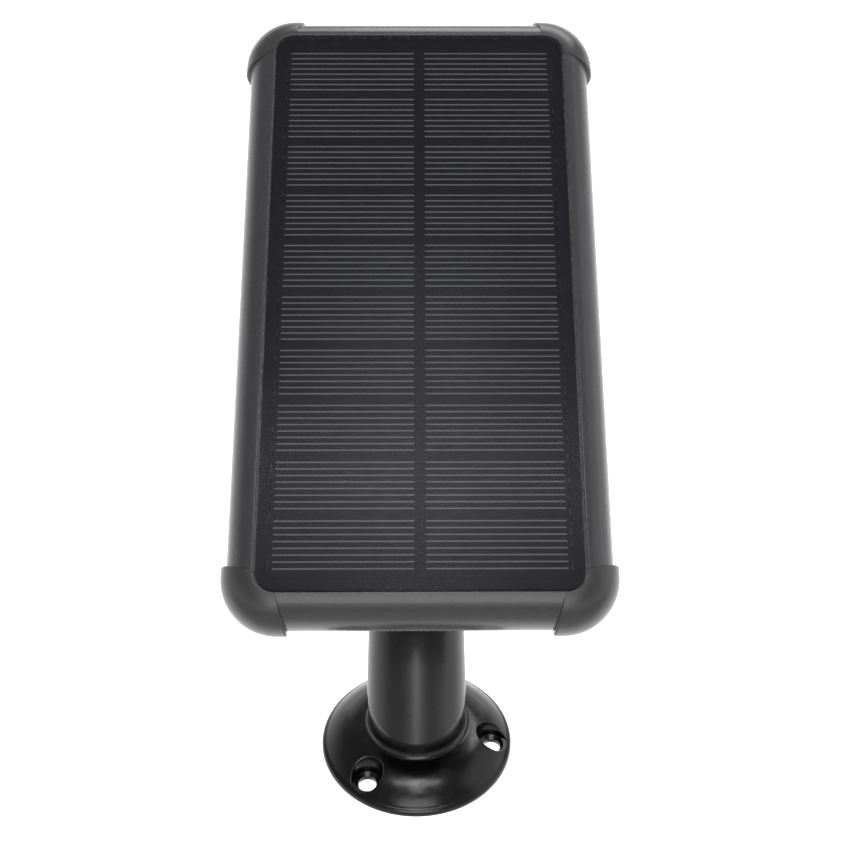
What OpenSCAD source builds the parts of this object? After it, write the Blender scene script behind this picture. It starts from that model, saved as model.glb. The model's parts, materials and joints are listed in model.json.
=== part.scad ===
// Solar charging panel on a tubular arm with a round mounting flange.
// Millimetres. The origin is the centre of the flange's mounting face, and +Z points away
// from the wall. The arm leans towards +Y, and the panel lies folded along it, face outwards.

/* [Glass and cells] */
// Width of the cover glass
glass_w = 101.1; // [96:0.1:106]
// Length of the cover glass
glass_l = 198.4; // [194:0.1:206]
// Corner radius of the cover glass
glass_r = 6.45; // [6:0.05:8]
// Thickness of the cover glass
glass_t = 2; // [1.6:0.1:2.2]
// Rows of solar cells
cell_rows = 10; // [4:1:10]
// Distance from one row of cells to the next
row_pitch = 18.9; // [16:0.1:19]
// Distance between the two columns of cells
column_pitch = 47; // [42:0.5:47]
// Gap between neighbouring cells
cell_gap = 1.4; // [1:0.1:2]
// How far the cells sit above the middle of the glass
cells_up = 0.5; // [0:0.1:1]

/* [Panel case] */
// How far the rounded rail reaches out from the glass edge
rail_out = 9.9; // [9.5:0.1:12]
// Full thickness of the panel
panel_t = 25; // [24.5:0.1:28]
// Depth of the parting line between frame and rear cover
parting = 14.5; // [13.5:0.5:15]
// How far the corner bumpers stand proud of the rail
bumper_proud = 1.8; // [1:0.1:2.5]
// Wall of the frame and the cover under the rail's skin
wall = 2.2; // [2:0.1:2.4]

/* [Arm] */
// Rise of the arm above the flange's mounting plane
arm_rise = 38.5; // [35:0.1:45]
// Radius of the arm where its axis meets the flange's neck
arm_r = 16.4; // [16:0.1:17]
// Draft of the arm, each side
arm_draft = 0.8; // [0.4:0.1:1]
// Wall of the arm tube
arm_wall = 2.4; // [2:0.1:2.8]
// Distance along the arm from its foot to the tilt hinge
hinge_reach = 120.9; // [119:0.1:128]
// Distance from the arm's axis to the outer face of the glass
glass_height = 48.3; // [46:0.1:50]
// How far the panel sits to the right of the arm
panel_side = 1.3; // [0:0.1:2]

/* [Flange] */
// Diameter of the flange
flange_d = 65; // [63:0.5:70]
// Radius of the neck
neck_r = 16.3; // [16:0.1:16.4]
// Height of the arm's foot face above the mounting plane
neck_top = 27.5; // [26:0.1:30]
// Pitch circle of the three wall screw holes
wall_pcd = 51.7; // [51:0.1:52]
// Radius of the wall screw holes
wall_hole_r = 3; // [2.5:0.1:3.2]
// Direction of the first wall screw hole
first_hole = -9; // [-20:1:20]

/* [Hidden] */
$fn = 64;
eps = 0.01;
half_t = panel_t / 2;
glass_gap = 0.2;

// Depths below the glass face, in the panel's own frame.
seal_t = 0.7;
ledge_top = -glass_t - seal_t;
ledge_t = 2;
ledge_in = 4;
cell_t = 0.3;
board_top = -glass_t - cell_t;
board_t = 1;
back_t = 2.6;
cavity_floor = -panel_t + back_t;
core_in = 1.3;
core_down = 1.1;
groove_in = 0.65;
groove_w = 0.75;
groove_t = 0.8;

// Cells: two columns of strips, numbered along each row.
cell_w = column_pitch - cell_gap;
cell_l = row_pitch - cell_gap;
cell_count = 2 * cell_rows;
tab_w = 3;

// Bumper seams lean away from the corner as they go out from the glass.
seam_top = 6.7;
seam_lean = 0.26;
seam_gap = 0.15;
seam_reach = 20;

// Case screws, in four pairs along the long rails.
case_screw_x = glass_w / 2 - 2;
case_screw_y = [-84, -28, 28, 84];

// Electronics in the lower part of the case.
circuit_x = -8;
circuit_y = -66;
circuit_w = 54;
circuit_l = 34;
circuit_t = 1.6;
circuit_top = cavity_floor + 7;
gland_x = 34;
gland_y = -70;
gland_bore_r = 2;

// Tilt hinge, measured from its own axis.
hinge_drop = glass_height;
bolt_r = 3;
running = 0.06;
tongue_half = 6.7;
eye_r = 11;
ear_in = 7.3;
ear_t = 4;
ear_out = ear_in + ear_t;
ear_r = 10;
plate_t = 3;
plate_low = -14;
plate_high = 22;
plate_half = 21;
bracket_screw_x = 15.5;
bracket_screw_y = [-8.5, 16];
knob_r = 13;
knob_in = ear_out + 0.7;
knob_len = 15;

// Arm tube.
tube_end = hinge_reach - 18.8;
plug_len = 20;
collar_t = 2;
foot_t = 8;

// Flange.
flange_r = flange_d / 2;
neck_face = neck_top - 0.2;
rim_t = 1.1;
rim_round = 1.3;
dome_foot = 2.6;
dome_head = 9.5;
dome_power = 2.1;
disc_r = 12.5;
web_low = 14;

cell_names = [for (i = [1 : cell_count]) str("solar_cell_", i)];
bumper_names = ["bumper_lower_left", "bumper_lower_right", "bumper_upper_left",
    "bumper_upper_right"];

// ---- Frames ----

// The arm's frame: Y runs up the arm's axis from its foot, and Z points out through the panel.
module at_arm() {
    translate([0, 0, neck_top]) rotate([arm_rise, 0, 0]) children();
}

// The panel's frame: its origin is the middle of the glass face.
module at_panel() {
    at_arm() translate([panel_side, hinge_reach, glass_height]) children();
}

// The hinge's frame: its origin is on the hinge's axis, which runs along X.
module at_hinge() {
    at_arm() translate([0, hinge_reach, 0]) children();
}

function arm_radius(s) = arm_r - s * tan(arm_draft);

// ---- Shared shapes ----

module rounded_rect(w, l, r) {
    square([w - 2 * r, l], center = true);
    square([w, l - 2 * r], center = true);
    for (x = [-1, 1], y = [-1, 1])
        translate([x * (w / 2 - r), y * (l / 2 - r)]) circle(r);
}

// Plate whose outline is the glass outline moved out by grow.
module glass_plate(grow, low, high) {
    translate([0, 0, low]) linear_extrude(high - low)
        rounded_rect(glass_w + 2 * grow, glass_l + 2 * grow, glass_r + grow);
}

// Points on the rail's elliptical section, from one angle to another.
function rail_arc(a, b, from, to, n) =
    [for (i = [0 : n]) let (t = from + (to - from) * i / n) [a * cos(t), b * sin(t) - half_t]];

// Angle on an ellipse at a distance out from the glass edge, and at a depth.
function angle_out(a, u) = acos(u / a);
function angle_deep(b, z) = asin((z + half_t) / b);

function reversed(v) = [for (i = [len(v) - 1 : -1 : 0]) v[i]];

// Section of a skin between two ellipses, from depth z0 to z1.
module skin_section(a, b, a_in, b_in, from, to, from_in, to_in) {
    polygon(concat(rail_arc(a, b, from, to, 9), reversed(rail_arc(a_in, b_in, from_in, to_in, 7))));
}

// Carries a section round the glass: X is the distance out from the glass edge.
module sweep_corner() {
    rotate_extrude(angle = 90) translate([glass_r, 0]) children();
}

module sweep_ring() {
    half_w = glass_w / 2 - glass_r;
    half_l = glass_l / 2 - glass_r;
    for (side = [0, 1]) rotate([0, 0, 180 * side]) {
        translate([half_w, half_l, 0]) sweep_corner() children();
        translate([-half_w, half_l, 0]) rotate([0, 0, 90]) sweep_corner() children();
        sweep_rail(glass_w, 2 * half_l) children();
        rotate([0, 0, 90]) sweep_rail(glass_l, 2 * half_w) children();
    }
}

// One straight rail along Y, on the +X side of a panel of width w.
module sweep_rail(w, len) {
    translate([w / 2, len / 2, 0]) rotate([90, 0, 0]) linear_extrude(len) children();
}

// The space between the two seams of a rail of glass length l, on the +X side of a panel of width w.
module between_seams(w, l, gap) {
    near = l / 2 - seam_top - gap;
    far = near - seam_lean * seam_reach;
    translate([w / 2, 0, -panel_t - 1]) linear_extrude(panel_t + 2)
        polygon([[0, -near], [seam_reach, -far], [seam_reach, far], [0, near]]);
}

// The rail's skin, which stops at the bumpers.
module rail_skin() {
    for (side = [0, 1]) rotate([0, 0, 180 * side]) {
        intersection() {
            sweep_rail(glass_w, glass_l) children();
            between_seams(glass_w, glass_l, seam_gap / 2);
        }
        rotate([0, 0, 90]) intersection() {
            sweep_rail(glass_l, glass_w) children();
            between_seams(glass_l, glass_w, seam_gap / 2);
        }
    }
}

module screw_boss(r, low, high) {
    for (x = [-1, 1], y = case_screw_y)
        translate([x * case_screw_x, y, low]) cylinder(r = r, h = high - low);
}

// Cylinders at the bracket's screws, in the panel's frame.
module bracket_holes(r, low, h) {
    for (x = [-1, 1], y = bracket_screw_y)
        translate([x * bracket_screw_x - panel_side, y, low]) cylinder(r = r, h = h);
}

// Pan head screw along Z, its head's underside at the origin and its shank up.
module pan_screw(r, len, head_r, head_h) {
    difference() {
        union() {
            cylinder(r = r, h = len);
            translate([0, 0, -head_h]) cylinder(r = head_r, h = head_h);
        }
        for (turn = [0, 90]) rotate([0, 0, turn])
            translate([-head_r * 0.55, -head_r * 0.12, -head_h - eps])
                cube([head_r * 1.1, head_r * 0.24, head_h * 0.6]);
    }
}

// ---- Flange ----

// Height of the flange's dome at a radius: flat at the neck and steepest at the rim.
dome_out = flange_r - rim_round;
function dome_z(r) =
    dome_head - (dome_head - dome_foot) * pow((r - neck_r) / (dome_out - neck_r), dome_power);

module flange_section() {
    fillet = 1.6;
    steps = 10;
    start = neck_r + fillet;
    polygon(concat(
        [[0, 0], [flange_r, 0], [flange_r, rim_t], [flange_r - 0.2, rim_t + 0.65],
         [flange_r - 0.65, rim_t + 1.15]],
        [for (i = [0 : steps]) let (r = dome_out + (start - dome_out) * i / steps) [r, dome_z(r)]],
        [[neck_r + 0.5, dome_z(start) + 0.9], [neck_r, dome_z(start) + 2.2],
         [neck_r, neck_face - 0.5], [neck_r - 0.5, neck_face], [0, neck_face]]));
}

module wall_flange() {
    recess_r = 5.25;
    recess_floor = 2.6;
    cup_r = 4.1;
    cup_floor = 1.5;
    color([0.05, 0.05, 0.05]) difference() {
        rotate_extrude($fn = 96) flange_section();
        for (i = [0 : 2]) rotate([0, 0, first_hole + 120 * i]) translate([wall_pcd / 2, 0, 0]) {
            translate([0, 0, -1]) cylinder(r = wall_hole_r, h = 12);
            translate([0, 0, cup_floor]) cylinder(r1 = wall_hole_r, r2 = cup_r, h = recess_floor - cup_floor);
            translate([0, 0, recess_floor]) cylinder(r = recess_r, h = 12);
        }
        translate([0, 0, -1]) cylinder(r = 8.5, h = web_low + 1);
        cylinder(r = bolt_r + running, h = neck_top);
        translate([0, 0, neck_top - 1]) cylinder(r = disc_r + 0.1, h = 2);
        rotate_extrude() polygon([[11, -1], [18.5, -1], [18.5, 5.5], [13.5, 9.5], [11, 9.5]]);
    }
}

module friction_disc() {
    color([0.12, 0.12, 0.12]) translate([0, 0, neck_top - 1]) difference() {
        cylinder(r = disc_r, h = 0.95);
        translate([0, 0, -1]) cylinder(r = bolt_r + 0.4, h = 3);
    }
}

// ---- Arm ----

// Tapered bar along the arm's axis, from s0 to s1, its surface moved in by inset.
module arm_bar(s0, s1, inset) {
    at_arm() translate([0, s0, 0]) rotate([-90, 0, 0])
        cylinder(r1 = arm_radius(s0) - inset, r2 = arm_radius(s1) - inset, h = s1 - s0);
}

module above(z) {
    translate([-100, -100, z]) cube([200, 300, 300]);
}

module arm_tube() {
    color([0.2, 0.2, 0.205]) difference() {
        intersection() {
            arm_bar(-30, tube_end, 0);
            above(neck_top);
        }
        intersection() {
            arm_bar(-30, tube_end + 1, arm_wall);
            above(neck_top + foot_t);
        }
        translate([0, 0, neck_top - 1]) cylinder(r = 4.5, h = foot_t + 2);
        at_arm() translate([0, tube_end - plug_len / 2, 0])
            rotate([0, 90, 0]) cylinder(r = 2, h = 60, center = true);
    }
}

module foot_insert() {
    color([0.78, 0.6, 0.3]) translate([0, 0, neck_top + 0.3]) difference() {
        cylinder(r = 4.45, h = foot_t - 0.3);
        translate([0, 0, -1]) cylinder(r = bolt_r + 0.05, h = foot_t + 2);
    }
}

module pan_bolt() {
    head_h = 4;
    head_low = web_low - 1 - head_h;
    color([0.62, 0.63, 0.65]) difference() {
        union() {
            translate([0, 0, head_low]) cylinder(r = 5.2, h = head_h);
            translate([0, 0, head_low + 1]) cylinder(r = bolt_r, h = neck_top + foot_t - head_low);
        }
        translate([0, 0, head_low - 1]) cylinder(r = 2.9, h = 3.4, $fn = 6);
    }
}

module pan_washer() {
    color([0.7, 0.7, 0.72]) translate([0, 0, web_low - 1]) difference() {
        cylinder(r = 7.2, h = 0.95);
        translate([0, 0, -1]) cylinder(r = bolt_r + 0.2, h = 3);
    }
}

module arm_knuckle() {
    collar_end = tube_end + collar_t;
    color([0.18, 0.18, 0.185]) difference() {
        union() {
            arm_bar(tube_end - plug_len, tube_end + 1, arm_wall + 0.1);
            arm_bar(tube_end + 0.05, collar_end, 0);
            at_arm() translate([-tongue_half, collar_end - 1, -eye_r])
                cube([2 * tongue_half, hinge_reach - collar_end + 1, 2 * eye_r]);
            at_hinge() rotate([0, 90, 0]) cylinder(r = eye_r, h = 2 * tongue_half, center = true);
        }
        at_hinge() rotate([0, 90, 0]) cylinder(r = bolt_r + running, h = 40, center = true);
        at_arm() translate([0, tube_end - plug_len / 2, 0])
            rotate([0, 90, 0]) cylinder(r = 2, h = 60, center = true);
    }
}

module knuckle_pin() {
    color([0.6, 0.6, 0.62]) at_arm() translate([0, tube_end - plug_len / 2, 0])
        rotate([0, 90, 0]) cylinder(r = 1.95, h = 29.2, center = true);
}

// ---- Panel case ----

module front_core_section() {
    a = rail_out - core_in;
    b = half_t - core_down;
    polygon(concat(
        rail_arc(a, b, angle_out(a, glass_gap), angle_deep(b, -parting), 9),
        [[a - wall, -parting], [a - wall, -10], [3.4, ledge_top - ledge_t],
         [-ledge_in, ledge_top - ledge_t], [-ledge_in, ledge_top], [glass_gap, ledge_top]]));
}

module front_skin_section() {
    a = rail_out;
    b = half_t;
    a_in = a - core_in - 0.4;
    b_in = b - core_down - 0.4;
    skin_section(a, b, a_in, b_in, angle_out(a, glass_gap), angle_deep(b, -parting),
        angle_out(a_in, glass_gap), angle_deep(b_in, -parting));
}

module front_frame() {
    color([0.25, 0.25, 0.26]) at_panel() difference() {
        union() {
            sweep_ring() front_core_section();
            rail_skin() front_skin_section();
            screw_boss(3.3, -parting, ledge_top - ledge_t + 0.5);
        }
        screw_boss(1.6, -parting - 1, -7);
    }
}

module rear_core_section() {
    a = rail_out - core_in;
    b = half_t - core_down;
    from = angle_deep(b, -parting);
    polygon(concat(
        [[a - wall, -parting], [a - wall + groove_in, -parting],
         [a - wall + groove_in, -parting - groove_t],
         [a - wall + groove_in + groove_w, -parting - groove_t],
         [a - wall + groove_in + groove_w, -parting]],
        rail_arc(a, b, from, -angle_out(a, 0), 9),
        [[-1, core_down - panel_t], [-1, cavity_floor], [3, cavity_floor + 1.2],
         [a - wall - 0.8, -parting - 4]]));
}

module rear_skin_section() {
    a = rail_out;
    b = half_t;
    a_in = a - core_in - 0.4;
    b_in = b - core_down - 0.4;
    skin_section(a, b, a_in, b_in, angle_deep(b, -parting), -angle_out(a, 0),
        angle_deep(b_in, -parting), -angle_out(a_in, 0));
}

module rear_cover() {
    color([0.22, 0.22, 0.23]) at_panel() difference() {
        union() {
            sweep_ring() rear_core_section();
            rail_skin() rear_skin_section();
            glass_plate(0.1, -panel_t, cavity_floor);
            screw_boss(4, cavity_floor - 0.5, -parting);
            bracket_holes(4, cavity_floor - 0.5, 8.5);
            circuit_posts(2.8, cavity_floor - 0.5, circuit_top - circuit_t);
        }
        screw_boss(3.2, -panel_t - 1, cavity_floor + 1.2);
        screw_boss(1.8, -panel_t - 1, -parting + 1);
        bracket_holes(1.9, -panel_t - 1, 9.5);
        circuit_posts(1.1, cavity_floor, circuit_top);
        translate([gland_x, gland_y, -panel_t - 1]) cylinder(r = 6, h = back_t + 2);
    }
}

module housing_seal() {
    side_play = 0.05;
    a = rail_out - core_in - wall + groove_in + side_play;
    color([0.1, 0.1, 0.1]) at_panel() sweep_ring()
        translate([a, side_play - parting - groove_t])
            square([groove_w - 2 * side_play, groove_t - side_play]);
}

module bumper_section() {
    a = rail_out + bumper_proud;
    b = half_t;
    a_in = rail_out - core_in + seam_gap;
    b_in = b - core_down + seam_gap / 2;
    edge = glass_gap;
    polygon(concat(
        rail_arc(a, b, angle_out(a, edge), -angle_out(a, edge), 18),
        reversed(rail_arc(a_in, b_in, angle_out(a_in, edge), -angle_out(a_in, edge), 16))));
}

// Corner bumper on the side given by the signs of X and Y.
module bumper(sx, sy) {
    arm = seam_top - glass_r + seam_lean * (rail_out + bumper_proud) + 1;
    color([0.24, 0.24, 0.25]) at_panel() mirror([sx < 0 ? 1 : 0, 0, 0])
        mirror([0, sy < 0 ? 1 : 0, 0]) difference() {
            translate([glass_w / 2 - glass_r, glass_l / 2 - glass_r, 0]) {
                sweep_corner() bumper_section();
                rotate([90, 0, 0]) translate([glass_r, 0, 0]) linear_extrude(arm) bumper_section();
                rotate([90, 0, 90]) translate([glass_r, 0, -arm]) linear_extrude(arm) bumper_section();
            }
            between_seams(glass_w, glass_l, -seam_gap / 2);
            rotate([0, 0, 90]) between_seams(glass_l, glass_w, -seam_gap / 2);
        }
}

module cover_glass() {
    color([0.12, 0.12, 0.14, 0.5]) at_panel() glass_plate(0, -glass_t, 0);
}

module glass_seal() {
    color([0.08, 0.08, 0.08]) at_panel() difference() {
        glass_plate(-0.4, ledge_top, -glass_t);
        glass_plate(-ledge_in + 0.2, ledge_top - 1, 0);
    }
}

module case_screws() {
    seat = cavity_floor + 1.2;
    color([0.6, 0.6, 0.62]) at_panel() for (x = [-1, 1], y = case_screw_y)
        translate([x * case_screw_x, y, seat]) pan_screw(1.5, 13, 2.8, 2.4);
}

// ---- Cells ----

module cell_board() {
    color([0.06, 0.06, 0.07]) at_panel()
        glass_plate(-ledge_in - 0.2, board_top - board_t, board_top);
}

module solar_cell(i) {
    column = (i - 1) % 2;
    row = floor((i - 1) / 2);
    x = (column - 0.5) * column_pitch;
    y = (row - (cell_rows - 1) / 2) * row_pitch + cells_up;
    color([0.09, 0.09, 0.12]) at_panel()
        translate([x - cell_w / 2, y - cell_l / 2, board_top]) cube([cell_w, cell_l, cell_t]);
}

// Tabs that join each cell to the next one up its column, and one strip that joins the columns.
module cell_tabs() {
    top = cell_rows * row_pitch / 2;
    color([0.3, 0.3, 0.31]) at_panel() translate([0, cells_up, board_top]) {
        for (column = [-0.5, 0.5], part = [-1, 1], row = [1 : cell_rows - 1])
            translate([column * column_pitch + part * cell_w / 4 - tab_w / 2,
                       row * row_pitch - top - cell_gap / 2, 0])
                cube([tab_w, cell_gap, 0.2]);
        translate([-column_pitch / 2, top - cell_gap / 2, 0]) cube([column_pitch, 1, 0.2]);
    }
}

// ---- Electronics ----

module circuit_posts(r, low, high) {
    for (x = [-1, 1], y = [-1, 1])
        translate([circuit_x + x * (circuit_w / 2 - 4), circuit_y + y * (circuit_l / 2 - 4), low])
            cylinder(r = r, h = high - low);
}

module charge_board() {
    color([0.05, 0.25, 0.14]) at_panel() difference() {
        translate([circuit_x - circuit_w / 2, circuit_y - circuit_l / 2, circuit_top - circuit_t])
            cube([circuit_w, circuit_l, circuit_t]);
        circuit_posts(1.3, cavity_floor, circuit_top + 1);
    }
}

module board_screws() {
    color([0.7, 0.7, 0.72]) at_panel() for (x = [-1, 1], y = [-1, 1])
        translate([circuit_x + x * (circuit_w / 2 - 4), circuit_y + y * (circuit_l / 2 - 4), circuit_top])
            mirror([0, 0, 1]) pan_screw(1, 5, 2, 1.4);
}

module board_choke() {
    color([0.2, 0.2, 0.2]) at_panel() translate([circuit_x - 14, circuit_y - 4, circuit_top])
        difference() {
            cylinder(r = 6.5, h = 6);
            translate([0, 0, 3]) cylinder(r = 3, h = 4);
        }
}

module board_capacitors() {
    color([0.3, 0.32, 0.36]) at_panel() for (x = [-1, 7.5])
        translate([circuit_x + x, circuit_y - 6, circuit_top]) {
            cylinder(r = 3.1, h = 0.5);
            translate([0, 0, 0.4]) cylinder(r = 3.5, h = 8);
        }
}

module board_terminal() {
    color([0.1, 0.35, 0.2]) at_panel() translate([circuit_x + 14, circuit_y - 11, circuit_top])
        difference() {
            cube([9, 8, 8]);
            for (y = [2, 6]) translate([4.5, y, 4]) cylinder(r = 1.4, h = 5);
        }
}

module cell_leads() {
    color([0.75, 0.5, 0.35]) at_panel() for (x = [-4, 4])
        translate([circuit_x + x, circuit_y + 11, circuit_top])
            cylinder(r = 0.6, h = board_top - board_t - circuit_top);
}

module cable_gland() {
    color([0.08, 0.08, 0.08]) at_panel() translate([gland_x, gland_y, -panel_t]) difference() {
        union() {
            translate([0, 0, -0.05]) cylinder(r = 5.9, h = back_t + 5);
            translate([0, 0, -2]) cylinder(r = 8, h = 2);
            translate([0, 0, -7]) cylinder(r1 = 4, r2 = 5.2, h = 5.5);
        }
        translate([0, 0, -8]) cylinder(r = gland_bore_r, h = 20);
    }
}

module gland_nut() {
    color([0.15, 0.15, 0.15]) at_panel() translate([gland_x, gland_y, cavity_floor])
        difference() {
            cylinder(r = 8.5, h = 4, $fn = 6);
            translate([0, 0, -1]) cylinder(r = 5.95, h = 6);
        }
}

// ---- Tilt hinge ----

module hinge_bracket() {
    plate_z = hinge_drop - panel_t - plate_t;
    color([0.2, 0.2, 0.2]) at_hinge() difference() {
        union() {
            translate([0, (plate_low + plate_high) / 2, plate_z]) linear_extrude(plate_t)
                rounded_rect(2 * plate_half, plate_high - plate_low, 5);
            for (side = [-1, 1]) translate([side * (ear_in + ear_t / 2), 0, 0]) {
                rotate([0, 90, 0]) cylinder(r = ear_r, h = ear_t, center = true);
                translate([-ear_t / 2, -ear_r, 0]) cube([ear_t, 2 * ear_r, plate_z + 1]);
            }
        }
        rotate([0, 90, 0]) cylinder(r = bolt_r + 0.03, h = 60, center = true);
        for (x = [-1, 1], y = bracket_screw_y)
            translate([x * bracket_screw_x, y, plate_z - 1]) cylinder(r = 2.2, h = plate_t + 2);
    }
}

module bracket_screws() {
    color([0.62, 0.62, 0.64]) at_hinge() for (x = [-1, 1], y = bracket_screw_y)
        translate([x * bracket_screw_x, y, hinge_drop - panel_t - plate_t]) pan_screw(1.8, 10, 3.4, 2);
}

module hinge_bolt() {
    head_t = 3.6;
    color([0.65, 0.65, 0.67]) at_hinge() rotate([0, 90, 0]) {
        translate([0, 0, -ear_out - head_t]) cylinder(r = 5.8, h = head_t, $fn = 6);
        translate([0, 0, -ear_out - 1]) cylinder(r = bolt_r, h = ear_out + 1 + knob_in + 9);
    }
}

module hinge_washers() {
    color([0.7, 0.7, 0.7]) at_hinge() rotate([0, 90, 0]) {
        for (low = [-ear_in + 0.03, tongue_half + 0.07, ear_out + 0.03])
            translate([0, 0, low]) difference() {
                cylinder(r = 8, h = 0.5);
                translate([0, 0, -1]) cylinder(r = bolt_r + 0.15, h = 3);
            }
    }
}

module tilt_knob() {
    scallops = 7;
    hub_t = 3;
    color([0.1, 0.1, 0.1]) at_hinge() rotate([0, 90, 0]) translate([0, 0, knob_in])
        difference() {
            union() {
                cylinder(r = 8, h = hub_t + 1);
                translate([0, 0, hub_t]) cylinder(r = knob_r, h = knob_len - hub_t);
            }
            for (i = [0 : scallops - 1]) rotate([0, 0, i * 360 / scallops])
                translate([knob_r + 2, 0, -1]) cylinder(r = 4, h = knob_len + 2);
            translate([0, 0, -1]) cylinder(r = 4.6, h = 11);
        }
}

module knob_insert() {
    color([0.78, 0.6, 0.3]) at_hinge() rotate([0, 90, 0]) translate([0, 0, knob_in + 0.2])
        difference() {
            cylinder(r = 4.55, h = 9.5);
            translate([0, 0, -1]) cylinder(r = bolt_r + running, h = 12);
        }
}

wall_flange();
friction_disc();
arm_tube();
foot_insert();
pan_bolt();
pan_washer();
arm_knuckle();
knuckle_pin();
front_frame();
rear_cover();
housing_seal();
cover_glass();
glass_seal();
cell_board();
cell_tabs();
case_screws();
charge_board();
board_screws();
board_choke();
board_capacitors();
board_terminal();
cell_leads();
cable_gland();
gland_nut();
hinge_bracket();
bracket_screws();
hinge_bolt();
hinge_washers();
tilt_knob();
knob_insert();
for (i = [0 : 3])
    bumper(i % 2 == 0 ? -1 : 1, i < 2 ? -1 : 1);
for (i = [1 : cell_count])
    solar_cell(i);
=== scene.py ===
import json
import math

import bmesh
import bpy
from mathutils import Matrix, Vector


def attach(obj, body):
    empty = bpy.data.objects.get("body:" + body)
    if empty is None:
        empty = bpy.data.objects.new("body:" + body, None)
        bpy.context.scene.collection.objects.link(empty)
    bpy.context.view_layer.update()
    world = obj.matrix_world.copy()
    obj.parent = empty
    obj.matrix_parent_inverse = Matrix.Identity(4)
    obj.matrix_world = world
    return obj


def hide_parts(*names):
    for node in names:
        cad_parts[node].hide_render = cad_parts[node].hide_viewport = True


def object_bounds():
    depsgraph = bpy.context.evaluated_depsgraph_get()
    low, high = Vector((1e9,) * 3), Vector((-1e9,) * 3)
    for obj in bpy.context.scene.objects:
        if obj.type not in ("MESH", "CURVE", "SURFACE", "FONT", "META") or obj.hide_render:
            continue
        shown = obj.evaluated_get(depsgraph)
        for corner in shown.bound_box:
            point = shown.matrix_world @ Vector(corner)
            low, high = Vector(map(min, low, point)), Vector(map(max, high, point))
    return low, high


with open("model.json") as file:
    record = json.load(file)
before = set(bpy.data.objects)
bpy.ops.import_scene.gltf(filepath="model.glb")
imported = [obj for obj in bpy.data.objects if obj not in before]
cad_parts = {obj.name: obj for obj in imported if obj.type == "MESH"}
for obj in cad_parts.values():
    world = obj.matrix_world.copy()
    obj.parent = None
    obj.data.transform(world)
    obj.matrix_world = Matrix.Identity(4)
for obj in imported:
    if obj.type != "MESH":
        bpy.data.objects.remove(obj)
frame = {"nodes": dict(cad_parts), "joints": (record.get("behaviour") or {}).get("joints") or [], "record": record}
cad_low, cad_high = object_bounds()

# Lengths below are in millimetres, and become metres when a mesh is made.
MM = 0.001

# ---- The frame: where the CAD says things are ----

joints = {joint["name"]: joint for joint in frame["joints"]}
mounts = {mount["name"]: mount for mount in frame["record"]["mounts"]}

outlet_axis = mounts["cable_outlet"]["axis"]
RISE = math.atan2(outlet_axis[1], -outlet_axis[2])
ALONG_ARM = Matrix.Rotation(RISE, 4, "X")
WORLD = Matrix.Identity(4)
# In FOOT and HINGE, Y runs up the arm and Z out through the panel. In AXLE, Z runs along the hinge.
FOOT = Matrix.Translation(joints["arm_pan"]["pos_m"]) @ ALONG_ARM
HINGE = Matrix.Translation(joints["panel_tilt"]["pos_m"]) @ ALONG_ARM
AXLE = HINGE @ Matrix.Rotation(math.radians(90), 4, "Y")


def span(node, place):
    """A CAD node's lowest and highest corners in the frame place, in millimetres."""
    back = place.inverted()
    points = [back @ vertex.co for vertex in frame["nodes"][node].data.vertices]
    low = Vector([min(p[i] for p in points) for i in range(3)]) / MM
    high = Vector([max(p[i] for p in points) for i in range(3)]) / MM
    return low, high


glass_low, glass_high = span("cover_glass", HINGE)
glass_middle = (glass_low + glass_high) / 2
# In PANEL, the origin is the middle of the glass face.
PANEL = HINGE @ Matrix.Translation(Vector((glass_middle.x, glass_middle.y, glass_high.z)) * MM)

GLASS_W, GLASS_L, GLASS_T = glass_high - glass_low
FRAME_LOW, FRAME_HIGH = span("front_frame", PANEL)
RAIL = FRAME_HIGH.x - GLASS_W / 2
PARTING = -FRAME_LOW.z
THICK = -span("rear_cover", PANEL)[0].z
PROUD = span("bumper_upper_right", PANEL)[1].x - FRAME_HIGH.x
HALF_T = THICK / 2

# Details of the case that the frame doesn't state as numbers.
CORNER_R = 6.45
GLASS_GAP = 0.2
SKIN_OUT = 1.3
SKIN_DOWN = 1.1
WALL = 2.2
LEDGE_TOP = -2.7
LEDGE_LOW = -4.7
LEDGE_IN = -4.0
FLOOR = 2.6 - THICK
SEAM_TOP = 6.7
SEAM_LEAN = 0.26
SEAM_GAP = 0.15
LIP_R = 0.35


# ---- Mesh tools: every mesh is built in millimetres in its own frame ----

def piece(name, bm, place, material, body, nodes=(), bevel=0.0, sharp=40):
    """Turns a bmesh into a smooth-shaded object that rides on a CAD body."""
    clean(bm)
    mesh = bpy.data.meshes.new(name)
    bm.to_mesh(mesh)
    bm.free()
    mesh.transform(place @ Matrix.Scale(MM, 4))
    obj = bpy.data.objects.new(name, mesh)
    bpy.context.scene.collection.objects.link(obj)
    mesh.materials.append(material)
    smooth(obj, bevel, sharp)
    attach(obj, body)
    if nodes:
        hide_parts(*nodes)


def clean(bm):
    bmesh.ops.remove_doubles(bm, verts=bm.verts, dist=1e-4)
    bmesh.ops.recalc_face_normals(bm, faces=bm.faces)


def smooth(obj, bevel=0.0, sharp=40):
    """Smooth shading, with edges over the sharp angle kept crisp or rounded by a bevel."""
    for polygon in obj.data.polygons:
        polygon.use_smooth = True
    if bevel:
        rounding = obj.modifiers.new("rounding", "BEVEL")
        rounding.width = bevel * MM
        rounding.segments = 3
        rounding.limit_method = "ANGLE"
        rounding.angle_limit = math.radians(sharp)
        rounding.harden_normals = True
    else:
        obj.data.set_sharp_from_angle(angle=math.radians(sharp))


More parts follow.
